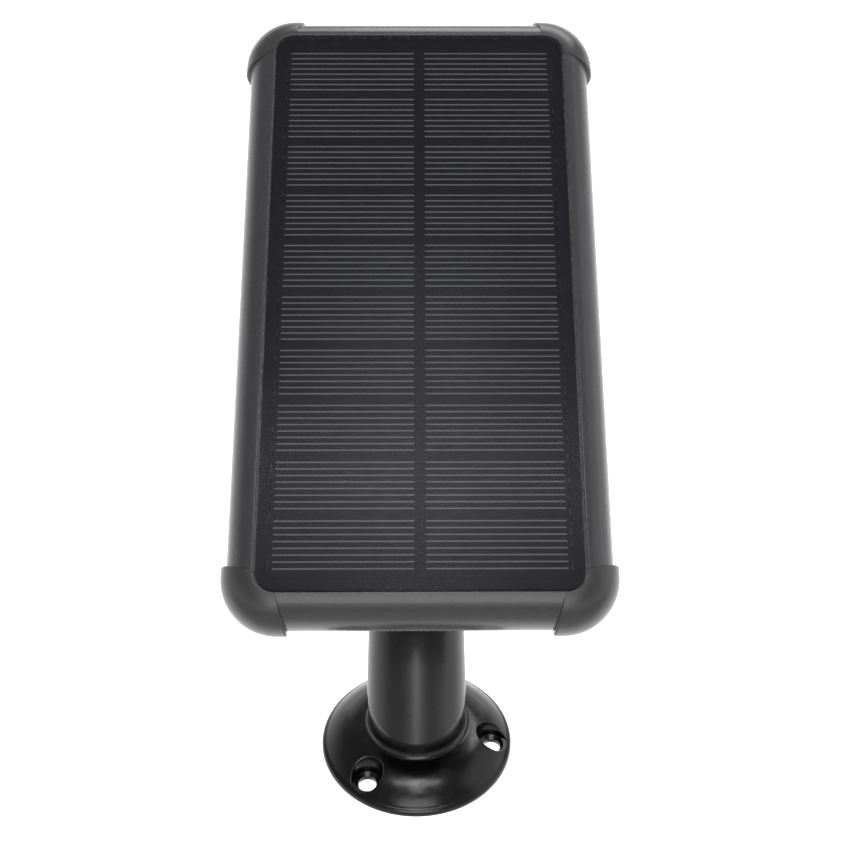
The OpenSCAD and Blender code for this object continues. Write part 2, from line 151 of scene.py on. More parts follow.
def combine(target, tool, operation):
    """Joins or cuts one closed bmesh with another, and returns a new bmesh."""
    made = []
    for bm in (target, tool):
        clean(bm)
        mesh = bpy.data.meshes.new("solid")
        bm.to_mesh(mesh)
        bm.free()
        obj = bpy.data.objects.new("solid", mesh)
        bpy.context.scene.collection.objects.link(obj)
        made.append(obj)
    boolean = made[0].modifiers.new("boolean", "BOOLEAN")
    boolean.operation = operation
    boolean.solver = "EXACT"
    boolean.use_self = True
    boolean.object = made[1]
    result = bmesh.new()
    result.from_object(made[0], bpy.context.evaluated_depsgraph_get())
    for obj in made:
        mesh = obj.data
        bpy.data.objects.remove(obj)
        bpy.data.meshes.remove(mesh)
    return result


def loft(bm, rings, closed_ring=True, closed_path=False, capped=False):
    """Skins a list of rings of points, each with the same number of points."""
    made = [[bm.verts.new(p) for p in ring] for ring in rings]
    count = len(made[0])
    last = len(made) if closed_path else len(made) - 1
    around = count if closed_ring else count - 1
    for i in range(last):
        here, there = made[i], made[(i + 1) % len(made)]
        for j in range(around):
            k = (j + 1) % count
            bm.faces.new((here[j], here[k], there[k], there[j]))
    if capped:
        bm.faces.new(made[0])
        bm.faces.new(made[-1])
    return made


def lathe(bm, outline, steps=64, place=WORLD):
    """Turns closed (radius, height) points round the local Z axis."""
    rings = []
    for i in range(steps):
        turn = 2 * math.pi * i / steps
        rings.append([place @ Vector((r * math.cos(turn), r * math.sin(turn), z)) for r, z in outline])
    loft(bm, rings, closed_path=True)
    return bm


def extrude(bm, outline, low, high, place=WORLD):
    """A prism from closed (x, y) points."""
    rings = [[place @ Vector((x, y, z)) for x, y in outline] for z in (low, high)]
    loft(bm, rings, capped=True)
    return bm


def arc(centre, radius, start, end, steps=6):
    """Points on an arc, angles in degrees."""
    points = []
    for i in range(steps + 1):
        turn = math.radians(start + (end - start) * i / steps)
        points.append((centre[0] + radius * math.cos(turn), centre[1] + radius * math.sin(turn)))
    return points


def at(x, y, z=0.0):
    return Matrix.Translation((x, y, z))


# ---- Materials ----

def node(tree, kind, inputs=None, **settings):
    made = tree.nodes.new(kind)
    for key, value in settings.items():
        setattr(made, key, value)
    for key, value in (inputs or {}).items():
        if isinstance(value, bpy.types.NodeSocket):
            tree.links.new(value, made.inputs[key])
        else:
            made.inputs[key].default_value = value
    return made


def noise(tree, size, detail=3.0, stretch=(1, 1, 1)):
    """Noise whose features are about size millimetres across."""
    where = node(tree, "ShaderNodeTexCoord").outputs["Object"]
    where = node(tree, "ShaderNodeMapping", {"Vector": where, "Scale": stretch}).outputs["Vector"]
    return node(tree, "ShaderNodeTexNoise", {"Vector": where, "Scale": 1 / (size * MM),
                                             "Detail": detail}).outputs["Fac"]


def spread(tree, value, low, high):
    """Maps a noise's middle part onto low to high."""
    return node(tree, "ShaderNodeMapRange", {"Value": value, "From Min": 0.3, "From Max": 0.7,
                                             "To Min": low, "To Max": high}).outputs["Result"]


def surface(name, colour, roughness, grain=0.25, depth=0.1, mottle=8.0, variation=0.06, gloss=0.1,
            stretch=(1, 1, 1), **sockets):
    """A material with fine grain in millimetres, faint colour mottling and uneven gloss."""
    material = bpy.data.materials.new(name)
    material.use_nodes = True
    tree = material.node_tree
    shader = tree.nodes["Principled BSDF"]
    for socket, value in sockets.items():
        shader.inputs[socket.replace("_", " ")].default_value = value
    blend = node(tree, "ShaderNodeMix", {0: spread(tree, noise(tree, mottle, 4), 0, 1),
                                         6: (*[c * (1 - variation) for c in colour], 1),
                                         7: (*[c * (1 + variation) for c in colour], 1)}, data_type="RGBA")
    tree.links.new(blend.outputs[2], shader.inputs["Base Color"])
    uneven = noise(tree, mottle / 3, 5, stretch)
    rough = spread(tree, uneven, roughness * (1 - gloss), roughness * (1 + gloss))
    tree.links.new(rough, shader.inputs["Roughness"])
    bump = node(tree, "ShaderNodeBump", {"Strength": depth, "Distance": 0.05 * MM,
                                         "Height": noise(tree, grain, 2, stretch)})
    tree.links.new(bump.outputs["Normal"], shader.inputs["Normal"])
    return material


CASE = surface("case_finish", (0.040, 0.040, 0.043), 0.27, grain=0.3, depth=0.08, gloss=0.06,
               Sheen_Weight=0.25, Sheen_Roughness=0.35)
BUMPER = surface("bumper_finish", (0.036, 0.036, 0.038), 0.32, grain=0.3,
                 Sheen_Weight=0.3, Sheen_Roughness=0.35)
ARM = surface("arm_finish", (0.018, 0.018, 0.019), 0.30, grain=0.5, depth=0.05,
              Sheen_Weight=0.15, Sheen_Roughness=0.35)
GLOSS = surface("gloss_finish", (0.002, 0.002, 0.0022), 0.22, grain=6.0, depth=0.05, gloss=0.25)
BLUE_BLACK = (0.017, 0.017, 0.0205)
BOARD = surface("laminate_finish", BLUE_BLACK, 0.5, grain=0.4, depth=0.02, Specular_IOR_Level=0.0)
CELL = surface("cell_finish", BLUE_BLACK, 0.5, grain=0.6, depth=0.02, variation=0.05,
               Specular_IOR_Level=0.0)
FINGER = surface("grid_finish", (0.16, 0.16, 0.165), 0.5, grain=0.3, Specular_IOR_Level=0.0)
STEEL = surface("zinc_finish", (0.5, 0.5, 0.52), 0.3, grain=0.3, Metallic=1.0)
BRASS = surface("brass_finish", (0.62, 0.45, 0.2), 0.3, grain=0.3, Metallic=1.0)
RUBBER = surface("seal_finish", (0.012, 0.012, 0.012), 0.7, grain=0.3, depth=0.2)
PAINT = surface("paint_finish", (0.018, 0.018, 0.019), 0.45, grain=0.5, depth=0.35)
KNOB = surface("knob_finish", (0.015, 0.015, 0.015), 0.5, grain=0.3, depth=0.3)
CIRCUIT = surface("circuit_finish", (0.02, 0.12, 0.06), 0.3, grain=0.6)
TIN = surface("tab_finish", BLUE_BLACK, 0.5, grain=0.3, Specular_IOR_Level=0.0)
FERRITE = surface("ferrite_finish", (0.03, 0.03, 0.03), 0.6, grain=0.3, depth=0.2)
CAN = surface("can_finish", (0.05, 0.06, 0.09), 0.35, grain=0.4)
TERMINAL = surface("terminal_finish", (0.03, 0.2, 0.08), 0.45, grain=0.4)
# The glass is a faint blended surface, so the lights reach the cells under it directly.
GLASS = surface("glass_finish", (0.02, 0.02, 0.026), 0.22, grain=6.0, depth=0.01, mottle=40.0, variation=0.02,
                Alpha=0.1, IOR=1.45)


# ---- Panel case: a section of (distance out from the glass edge, height) goes round the glass ----

def rail_curve(out, down, top_u, end_z, steps=30):
    """Points on the rail's elliptical section, from near the glass edge round to a height."""
    start = math.acos(top_u / out)
    end = math.asin(max(-1.0, (end_z + HALF_T) / down))
    points = []
    for i in range(steps + 1):
        turn = start + (end - start) * i / steps
        points.append((out * math.cos(turn), down * math.sin(turn) - HALF_T))
    return points


def to_back(points):
    """The same points on the other half of the panel's thickness."""
    return [(u, -THICK - z) for u, z in points]


def parting_edge(curve):
    """A small chamfer that makes the shadow line between frame and cover."""
    return [(curve[-1][0] - 0.3, -PARTING)]


def lip(top):
    """The rounded edge that stands round the glass."""
    return arc((GLASS_GAP + LIP_R, top - LIP_R), LIP_R, 180, 95, 4)


def front_section(out, down):
    top = down - HALF_T
    curve = rail_curve(out, down, GLASS_GAP + LIP_R + 0.1, 0.25 - PARTING)
    inner = RAIL - SKIN_OUT - WALL
    inside = [(inner, -PARTING), (inner, -10.0), (3.4, LEDGE_LOW),
              (LEDGE_IN, LEDGE_LOW), (LEDGE_IN, LEDGE_TOP)]
    return [(GLASS_GAP, LEDGE_TOP)] + lip(top) + curve + parting_edge(curve) + inside


def rear_section(out, down):
    """An open strip: from the back plate's edge, round the outside, over the rim and inside."""
    curve = to_back(rail_curve(out, down, 0.3, PARTING - THICK + 0.25))
    inner = RAIL - SKIN_OUT - WALL
    return ([(-0.5, -THICK), (0.1, -THICK), (0.1, -HALF_T - down)] + curve + parting_edge(curve)
            + [(inner, -PARTING), (inner - 0.8, -PARTING - 4), (3.0, FLOOR + 1.2), (-1.0, FLOOR)])


def seam(half_along, u):
    """How far along a side a bumper's seam is, at a distance out from the glass."""
    return half_along - SEAM_TOP - SEAM_LEAN * max(u, 0)


def side(turn, across, along, z):
    return Matrix.Rotation(math.radians(90 * turn), 4, "Z") @ Vector((across, along, z))


def side_halves(turn):
    """Half the glass across and along a side: sides 0 and 2 are the long ones."""
    return (GLASS_W / 2, GLASS_L / 2) if turn % 2 == 0 else (GLASS_L / 2, GLASS_W / 2)


def straight_ring(turn, section, place):
    across, along = side_halves(turn)
    return [side(turn, across + u, place(along, u), z) for u, z in section]


def corner_ring(turn, section, angle):
    across, along = side_halves(turn)
    c, s = math.cos(math.radians(angle)), math.sin(math.radians(angle))
    return [side(turn, across - CORNER_R + (CORNER_R + u) * c, along - CORNER_R + (CORNER_R + u) * s, z)
            for u, z in section]


def case_rings(full, core, steps=20):
    """Rings round the case: the full section on the rails, and a lower core under the bumpers."""
    rings = []
    for turn in range(4):
        rings.append(straight_ring(turn, full, lambda half, u: -seam(half, u)))
        rings.append(straight_ring(turn, full, seam))
        rings.append(straight_ring(turn, core, seam))
        for i in range(steps + 1):
            rings.append(corner_ring(turn, core, 90 * i / steps))
        rings.append(straight_ring(turn + 1, core, lambda half, u: -seam(half, u)))
    return rings


def front_frame():
    full = front_section(RAIL, HALF_T)
    core = front_section(RAIL - SKIN_OUT, HALF_T - SKIN_DOWN)
    bm = bmesh.new()
    loft(bm, case_rings(full, core), closed_path=True)
    piece("front_frame_shell", bm, PANEL, CASE, "panel", ["front_frame"])


CASE_SCREW_X = GLASS_W / 2 - 2
CASE_SCREW_Y = (-84, -28, 28, 84)
CASE_SCREW_SEAT = FLOOR + 1.2
BRACKET_SCREW_X = 15.5
BRACKET_SCREW_Y = (-8.5, 16)
GLAND_X = 34
GLAND_Y = -70


def rear_cover():
    """The cover, with its screw bosses, counterbores and the gland's hole."""
    full = rear_section(RAIL, HALF_T)
    core = rear_section(RAIL - SKIN_OUT, HALF_T - SKIN_DOWN)
    bm = bmesh.new()
    made = loft(bm, case_rings(full, core), closed_ring=False, closed_path=True)
    bm.faces.new([ring[0] for ring in made])
    bm.faces.new([ring[-1] for ring in made])
    bosses = bmesh.new()
    holes = bmesh.new()
    screws = [at(x * CASE_SCREW_X, y) for x in (-1, 1) for y in CASE_SCREW_Y]
    for spot in screws:
        lathe(bosses, [(0, FLOOR - 0.5), (4, FLOOR - 0.5), (3.8, -PARTING), (0, -PARTING)], 32, spot)
        lathe(holes, counterbore(3.2, 1.8, CASE_SCREW_SEAT, 0.5 - PARTING), 48, spot)
    for spot in bracket_spots(PANEL):
        lathe(bosses, [(0, FLOOR - 0.5), (4, FLOOR - 0.5), (3.8, FLOOR + 8), (0, FLOOR + 8)], 32, spot)
        lathe(holes, [(0, -THICK - 1), (1.85, -THICK - 1), (1.85, FLOOR + 7), (0, FLOOR + 7)], 32, spot)
    gland_hole = [(0, -THICK - 1), (5.95, -THICK - 1), (5.95, FLOOR + 1), (0, FLOOR + 1)]
    lathe(holes, gland_hole, 64, at(GLAND_X, GLAND_Y))
    bm = combine(combine(bm, bosses, "UNION"), holes, "DIFFERENCE")
    piece("rear_cover_shell", bm, PANEL, CASE, "panel", ["rear_cover"], sharp=30)


def counterbore(mouth, shank, seat, end):
    """A cutter's outline for a sunk screw in the back plate, its mouth rounded."""
    rim = 0.4
    rounded = arc((mouth + rim, rim - THICK), rim, -95, -180, 4)
    return ([(0, -THICK - 1), (mouth + rim, -THICK - 1)] + rounded
            + [(mouth, seat), (shank, seat), (shank, end), (0, end)])


def bracket_spots(place):
    """The bracket's screws, seen from the frame place, at the height of that frame's origin."""
    spots = []
    for x in (-1, 1):
        for y in BRACKET_SCREW_Y:
            spot = (place.inverted() @ HINGE @ (Vector((x * BRACKET_SCREW_X, y, 0)) * MM)) / MM
            spots.append(at(spot.x, spot.y))
    return spots


BUMPER_END_R = 0.8


def bumper_section(inset):
    """A bumper's section, its outer face drawn in where the bumper stands proud."""
    start = GLASS_GAP + LIP_R + 0.1
    outer = rail_curve(RAIL + PROUD - inset, HALF_T, start, -HALF_T, 22)
    outer += to_back(outer[:-1])[::-1]
    inner = rail_curve(RAIL - SKIN_OUT + SEAM_GAP, HALF_T - SKIN_DOWN + SEAM_GAP / 2, GLASS_GAP, -HALF_T, 22)
    inner += to_back(inner[:-1])[::-1]
    return lip(0) + outer + to_back(lip(0))[::-1] + inner[::-1]


def corner_bumper(name, turn):
    """A bumper whose two ends are rounded where they stand out from the rail."""
    first, last = [], []
    for i in range(6):
        roll = math.radians(90 - 18 * i)
        section = bumper_section(BUMPER_END_R * (1 - math.cos(roll)))
        back_off = BUMPER_END_R * (1 - math.sin(roll))

        def end(half, u):
            return seam(half, u) + SEAM_GAP + back_off * min(1, max(0, u) / 6)

        first.append(straight_ring(turn, section, end))
        last.append(straight_ring(turn + 1, section, lambda half, u: -end(half, u)))
    steps = 24
    corner = [corner_ring(turn, bumper_section(0), 90 * i / steps) for i in range(steps + 1)]
    bm = bmesh.new()
    loft(bm, first + corner + last[::-1], capped=True)
    piece(name + "_moulding", bm, PANEL, BUMPER, "panel", [name])


# ---- Glass and what is printed or laid under it ----

UNDER_GLASS = 0.12
BORDER_IN = -4.1
BORDER_OUT = -0.3
FILLER_DROP = 0.02


def cover_glass():
    """The glass, its underside drawn up a little so that it doesn't touch the cells."""
    chamfer = 0.25
    under = UNDER_GLASS - GLASS_T
    bm = sheet([(-3.0, 0.0), (-chamfer, 0.0), (0.0, -chamfer),
                (0.0, under + chamfer), (-chamfer, under), (-3.0, under)])
    piece("cover_glass_sheet", bm, PANEL, GLASS, "panel", ["cover_glass"], sharp=30)


def border_rings(section):
    """A section of (distance out from the glass edge, height), taken round the four corners."""
    return [corner_ring(turn, section, 90 * i / 12) for turn in range(4) for i in range(13)]


def sheet(section):
    """A rounded plate whose edge has the section."""
    bm = bmesh.new()
    made = loft(bm, border_rings(section), closed_ring=False, closed_path=True)
    bm.faces.new([ring[0] for ring in made])
    bm.faces.new([ring[-1] for ring in made])
    return bm


def laminate():
    """The dark filler between the cells, and the black border printed under the glass."""
    board_high = span("cell_board", PANEL)[1]
    cell_top = span("solar_cell_1", PANEL)[1].z
    edge = board_high.x - GLASS_W / 2
    top, low = cell_top - FILLER_DROP, board_high.z + 0.01
    bm = sheet([(edge - 1, top), (edge, top), (edge, low), (edge - 1, low)])
    piece("cell_filler", bm, PANEL, BOARD, "panel")
    low, top = cell_top + 0.05, cell_top + 0.1
    border = [(BORDER_IN, low), (BORDER_OUT, low), (BORDER_OUT, top), (BORDER_IN, top)]
    bm = bmesh.new()
    loft(bm, border_rings(border), closed_path=True)
    piece("glass_border_print", bm, PANEL, BOARD, "panel")


# ---- Cells ----

FINGER_COUNT = 8
FINGER_PITCH = 2.13
FINGER_LEN = 43.2
FINGER_W = 0.42
FINGER_T = 0.02
CELL_COUNT = sum(1 for name in frame["nodes"] if name.startswith("solar_cell_"))


def cell_fingers():
    """The printed grid lines on every cell."""
    bm = bmesh.new()
    for i in range(1, CELL_COUNT + 1):
        low, high = span(f"solar_cell_{i}", PANEL)
        middle = (low + high) / 2
        for line in range(FINGER_COUNT):
            y = middle.y + (line - (FINGER_COUNT - 1) / 2) * FINGER_PITCH
            size = Matrix.Diagonal((FINGER_LEN, FINGER_W, FINGER_T, 1))
            bmesh.ops.create_cube(bm, size=1, matrix=at(middle.x, y, high.z + FINGER_T / 2) @ size)
    piece("cell_grid_lines", bm, PANEL, FINGER, "panel")


# ---- Arm ----

ARM_DRAFT = math.tan(math.radians(0.8))
ARM_R = span("arm_tube", WORLD)[1].x
TUBE_END = span("arm_tube", FOOT)[1].y
REACH = ((FOOT.inverted() @ HINGE).translation / MM).y
PIN_Y = TUBE_END - 10
COLLAR = 2.0
EYE_R = 11.0
TONGUE_HALF = 6.7
BOLT_R = 3.0


def arm_radius(along):
    return ARM_R - along * ARM_DRAFT


def arm_ring(along, inset=0.0, steps=128):
    """A ring round the arm's axis, at the distance that along gives for each cosine."""
    ring = []
    for i in range(steps):
        turn = 2 * math.pi * i / steps
        c, s = math.cos(turn), math.sin(turn)
        y = along(c) if callable(along) else along
        r = arm_radius(y) - inset
        ring.append(Vector((r * s, y, r * c)))
    return ring


def foot_cut(c):
    """Where a line along the tube's surface meets the plane of the foot."""
    lean = c * math.cos(RISE)
    return -ARM_R * lean / (math.sin(RISE) - ARM_DRAFT * lean)


def arm_tube():
    """The tapered tube, its foot cut flat to stand on the flange's neck."""
    bm = bmesh.new()
    rings = [arm_ring(foot_cut), arm_ring(45.0), arm_ring(TUBE_END - 0.4), arm_ring(TUBE_END, 0.35)]
    loft(bm, rings, capped=True)
    pin_hole = lathe(bmesh.new(), [(0, -30), (2, -30), (2, 30), (0, 30)], 48,
                     at(0, PIN_Y) @ Matrix.Rotation(math.radians(90), 4, "Y"))
    bm = combine(bm, pin_hole, "DIFFERENCE")
    piece("arm_tube_moulding", bm, FOOT, ARM, "arm", ["arm_tube"], sharp=30)


def knuckle():
    """The collar that closes the tube, and the tongue that carries the hinge."""
    collar = bmesh.new()
    loft(collar, [arm_ring(TUBE_END, 0.35), arm_ring(TUBE_END + 0.4), arm_ring(TUBE_END + COLLAR - 0.6),
                  arm_ring(TUBE_END + COLLAR - 0.15, 0.2), arm_ring(TUBE_END + COLLAR, 0.7)], capped=True)
    tongue = bmesh.new()
    root = TUBE_END + COLLAR - 0.5 - REACH
    eye = [(-z, y) for y, z in arc((0, 0), EYE_R, 90, -90, 32)]
    outline = [(-EYE_R, root)] + eye + [(EYE_R, root)]
    rings = []
    for x, inset in ((-TONGUE_HALF, 0.8), (-TONGUE_HALF + 0.25, 0.25), (-TONGUE_HALF + 0.8, 0),
                     (TONGUE_HALF - 0.8, 0), (TONGUE_HALF - 0.25, 0.25), (TONGUE_HALF, 0.8)):
        shrink = (EYE_R - inset) / EYE_R
        rings.append([Vector((x, REACH + (y * shrink if y > 0 else y), z * shrink)) for z, y in outline])
    loft(tongue, rings, capped=True)
    bore = lathe(bmesh.new(), [(0, -20), (BOLT_R + 0.06, -20), (BOLT_R + 0.06, 20), (0, 20)], 64,
                 at(0, REACH) @ Matrix.Rotation(math.radians(90), 4, "Y"))
    bm = combine(combine(collar, tongue, "UNION"), bore, "DIFFERENCE")
    piece("arm_knuckle_moulding", bm, FOOT, ARM, "arm", ["arm_knuckle"], bevel=0.3)


# ---- Flange ----

NECK_R = 16.3
FLANGE_R = span("wall_flange", WORLD)[1].x
NECK_FACE = span("wall_flange", WORLD)[1].z
DOME_OUT = FLANGE_R - 1.3
DOME_HEAD = 9.5
DOME_FOOT = 2.6
DOME_POWER = 2.1
SCREW_CIRCLE = mounts["wall_screws"]["dims"]["pcd_mm"] / 2
FIRST_HOLE = -9
RECESS_R = 5.25
RECESS_FLOOR = 2.6


def dome(r):
    """Height of the flange's skin at a radius."""
    if r > DOME_OUT:
        return DOME_FOOT - 0.35 * (r - DOME_OUT) - 0.5 * (r - DOME_OUT) ** 2
    return DOME_HEAD - (DOME_HEAD - DOME_FOOT) * (max(0, r - NECK_R) / (DOME_OUT - NECK_R)) ** DOME_POWER


def flange_outline():
    fillet = 1.6
    start = NECK_R + fillet
    steps = 28
    under = [(8.5, 14), (8.5, 0.3), (8.8, 0), (10.7, 0), (11, 0.3), (11, 9.2), (11.3, 9.5), (13.3, 9.5),
             (13.7, 9.3), (18.3, 5.7), (18.5, 5.3), (18.5, 0.3), (18.8, 0)]
    rim = [(FLANGE_R - 0.3, 0), (FLANGE_R - 0.08, 0.08), (FLANGE_R, 0.3), (FLANGE_R, 1.1),
           (FLANGE_R - 0.05, 1.4), (FLANGE_R - 0.2, 1.75), (FLANGE_R - 0.4, 2.02), (FLANGE_R - 0.65, 2.25),
           (FLANGE_R - 0.95, 2.44)]
    skin = [(r, dome(r)) for r in [DOME_OUT + (start - DOME_OUT) * i / steps for i in range(steps + 1)]]
    foot = dome(start)
    neck = [(NECK_R + 1.0, foot + 0.3), (NECK_R + 0.55, foot + 0.8), (NECK_R + 0.2, foot + 1.5),
            (NECK_R + 0.03, foot + 2.3), (NECK_R, foot + 3), (NECK_R, NECK_FACE - 0.5),
            (NECK_R - 0.15, NECK_FACE - 0.15), (NECK_R - 0.5, NECK_FACE)]
    return ([(BOLT_R + 0.06, 14)] + under + rim + skin + neck
            + [(12.6, NECK_FACE), (12.6, NECK_FACE - 0.8), (BOLT_R + 0.06, NECK_FACE - 0.8)])


def recess_cutter(bm, angle, steps=96):
    """A wall screw's recess, its mouth rounded where it meets the sloping dome."""
    spot = Matrix.Rotation(math.radians(angle), 4, "Z") @ at(SCREW_CIRCLE, 0)
    round_r = 0.45
    rings = []
    for i in range(steps):
        turn = 2 * math.pi * i / steps
        c, s = math.cos(turn), math.sin(turn)
        points = [(0, -1), (3, -1), (3, 1.5), (4.1, RECESS_FLOOR), (RECESS_R, RECESS_FLOOR)]
        for roll in (0, 25, 50, 72):
            out = RECESS_R + round_r * (1 - math.cos(math.radians(roll)))
            height = dome(math.hypot(SCREW_CIRCLE + out * c, out * s))
            points.append((out, max(height - round_r * (1 - math.sin(math.radians(roll))),
                                    RECESS_FLOOR + 0.01 * roll / 25 + 0.01)))
        points += [(points[-1][0] + 0.6, points[-1][1] + 0.9), (points[-1][0] + 0.6, 20), (0, 20)]
        rings.append([spot @ Vector((r * c, r * s, z)) for r, z in points])
    loft(bm, rings, closed_path=True)


def wall_flange():
    bm = lathe(bmesh.new(), flange_outline(), 256)
    cutter = bmesh.new()
    for i in range(3):
        recess_cutter(cutter, FIRST_HOLE + 120 * i)
    bm = combine(bm, cutter, "DIFFERENCE")
    piece("wall_flange_moulding", bm, WORLD, GLOSS, "base", ["wall_flange"], sharp=30)


# ---- Hinge, measured along its own axis ----

EAR_IN = 7.3
EAR_T = 4.0
EAR_OUT = EAR_IN + EAR_T
EAR_R = 10.0
PLATE_T = 3.0
PLATE_Z = glass_high.z - THICK - PLATE_T
KNOB_IN = EAR_OUT + 0.7
KNOB_R = 13.0


def rounded_rect(w, l, r, middle=(0, 0), steps=8):
    points = []
    for turn, (x, y) in enumerate(((1, 1), (-1, 1), (-1, -1), (1, -1))):
        centre = (middle[0] + x * (w / 2 - r), middle[1] + y * (l / 2 - r))
        points += arc(centre, r, 90 * turn, 90 * turn + 90, steps)
    return points


def hinge_bracket():
    """The folded steel bracket: a plate on the rear cover and two ears round the tongue."""
    low, high = span("hinge_bracket", HINGE)
    plate = extrude(bmesh.new(), rounded_rect(high.x - low.x, 36, 5, (0, 4)), PLATE_Z, PLATE_Z + PLATE_T)
    ears = bmesh.new()
    # Seen along the hinge, the ear's outline is (height, distance up the arm).
    outline = arc((0, 0), EAR_R, 90, 270, 32)
    outline += [(PLATE_Z - 1.6, -EAR_R), (PLATE_Z + 0.6, -EAR_R - 1.6),
                (PLATE_Z + 0.6, EAR_R + 1.6), (PLATE_Z - 1.6, EAR_R)]
    stand = Matrix(((0, 0, 1, 0), (0, 1, 0, 0), (1, 0, 0, 0), (0, 0, 0, 1)))
    for x in (-EAR_OUT, EAR_IN):
        extrude(ears, outline, x, x + EAR_T, stand)
    holes = bmesh.new()
    lathe(holes, [(0, -30), (BOLT_R + 0.03, -30), (BOLT_R + 0.03, 30), (0, 30)], 64,
          Matrix.Rotation(math.radians(90), 4, "Y"))
    for x in (-1, 1):
        for y in BRACKET_SCREW_Y:
            lathe(holes, [(0, 10), (2.2, 10), (2.2, 30), (0, 30)], 40, at(x * BRACKET_SCREW_X, y))
    bm = combine(combine(plate, ears, "UNION"), holes, "DIFFERENCE")
    piece("hinge_bracket_plate", bm, HINGE, PAINT, "panel", ["hinge_bracket"], bevel=0.5)


def hex_radius(turn, across_flats):
    """Distance from the middle of a hexagon to its side, in a direction."""
    local = (turn + math.pi / 6) % (math.pi / 3) - math.pi / 6
    return across_flats / 2 / math.cos(local)


def bolt_ring(z, radius, steps=96):
    """A ring round the bolt, at the radius that the given function has in each direction."""
    turns = [2 * math.pi * i / steps for i in range(steps)]
    return [Vector((radius(turn) * math.cos(turn), radius(turn) * math.sin(turn), z)) for turn in turns]


def hinge_bolt():
    """A hexagon bolt with a washer face and a chamfered head."""
    across = 10.0
    washer_face = across / 2 - 0.1
    rings = [bolt_ring(z, lambda turn: BOLT_R) for z in (KNOB_IN + 9, -EAR_OUT + 0.01)]
    rings += [bolt_ring(-EAR_OUT - drop, lambda turn: washer_face) for drop in (0, 0.35)]
    rings += [bolt_ring(-EAR_OUT - drop, lambda turn: hex_radius(turn, across)) for drop in (0.4, 3.0)]
    for drop, limit in ((3.3, across / 2 + 0.25), (3.6, across / 2 - 0.25)):
        rings.append(bolt_ring(-EAR_OUT - drop, lambda turn: min(hex_radius(turn, across), limit)))
    bm = bmesh.new()
    loft(bm, rings, capped=True)
    piece("hinge_bolt_hex", bm, AXLE, STEEL, "panel", ["hinge_bolt"], sharp=25)


def hinge_washers():
    bm = bmesh.new()
    for low in (-EAR_IN + 0.03, TONGUE_HALF + 0.07, EAR_OUT + 0.03):
        high = low + 0.5
        lathe(bm, [(3.15, low), (7.9, low), (8, low + 0.1), (8, low + 0.4), (7.9, high), (3.15, high)], 96)
    piece("hinge_washer_set", bm, AXLE, STEEL, "panel", ["hinge_washers"])


def knob_radius(turn):
    """A round knob with seven scallops, their edges softened."""
    lobe = 2 * math.pi / 7
    off = (turn + lobe / 2) % lobe - lobe / 2
    middle, scallop = KNOB_R + 2, 4.0
    under = scallop ** 2 - (middle * math.sin(off)) ** 2
    if under <= 0:
        return KNOB_R
    bite = middle * math.cos(off) - math.sqrt(under)
    soft = 0.5
    blend = max(0.0, soft - abs(bite - KNOB_R)) / soft
    return min(bite, KNOB_R) - blend * blend * soft / 4


def tilt_knob():
    """The clamp knob, with a hub, a rounded grip and a dished end."""
    steps = 7 * 36
    hub = [(4.6, 0), (7.6, 0), (8, 0.4), (8, 3.0)]
    grip = [(1.4, 3.0), (0.6, 3.15), (0.15, 3.6), (0, 4.3), (0, 12.6), (0.25, 13.7), (0.9, 14.6), (1.9, 15.0)]
    dish = [(9.3, 15.0), (8.7, 14.8), (8.2, 14.3), (0, 14.0)]
    rings = []
    for i in range(steps):
        turn = 2 * math.pi * i / steps
        points = hub + [(max(8.0, knob_radius(turn) - inset), z) for inset, z in grip]
        points += [(r if r < 9 else min(r, knob_radius(turn) - 2), z) for r, z in dish]
        points += [(0, 10.0), (4.6, 10.0)]
        c, s = math.cos(turn), math.sin(turn)
        rings.append([Vector((r * c, r * s, KNOB_IN + z)) for r, z in points])
    bm = bmesh.new()
    loft(bm, rings, closed_path=True)
    piece("tilt_knob_grip", bm, AXLE, KNOB, "knob", ["tilt_knob"], sharp=35)


# ---- Screws and gland ----

def screw_heads(bm, spots, radius, height, shank, length):
    """Pan head screws with a cross recess, heads down, seats at each spot's origin."""
    head = [(0, length), (shank, length), (shank, 0), (radius, 0), (radius, -height * 0.35),
            (radius * 0.95, -height * 0.66), (radius * 0.8, -height * 0.88), (radius * 0.55, -height * 0.98),
            (0, -height)]
    screw = lathe(bmesh.new(), head, 48)
    cross = bmesh.new()
    corners = ((-1, -1), (1, -1), (1, 1), (-1, 1))
    long, wide = radius * 0.55, radius * 0.13
    for turn in (0, 90):
        top = [Vector((x * long * 1.05, y * wide * 1.2, -height - 0.2)) for x, y in corners]
        low = [Vector((x * long * 0.5, y * wide, -height * 0.4)) for x, y in corners]
        spin = Matrix.Rotation(math.radians(turn), 4, "Z")
        loft(cross, [[spin @ p for p in top], [spin @ p for p in low]], capped=True)
    screw = combine(screw, cross, "DIFFERENCE")
    clean(screw)
    mesh = bpy.data.meshes.new("screw")
    screw.to_mesh(mesh)
    screw.free()
    for i, spot in enumerate(spots):
        copy = mesh.copy()
        copy.transform(spot @ Matrix.Rotation(math.radians(37 * i), 4, "Z"))
        bm.from_mesh(copy)
        bpy.data.meshes.remove(copy)
    bpy.data.meshes.remove(mesh)
    return bm


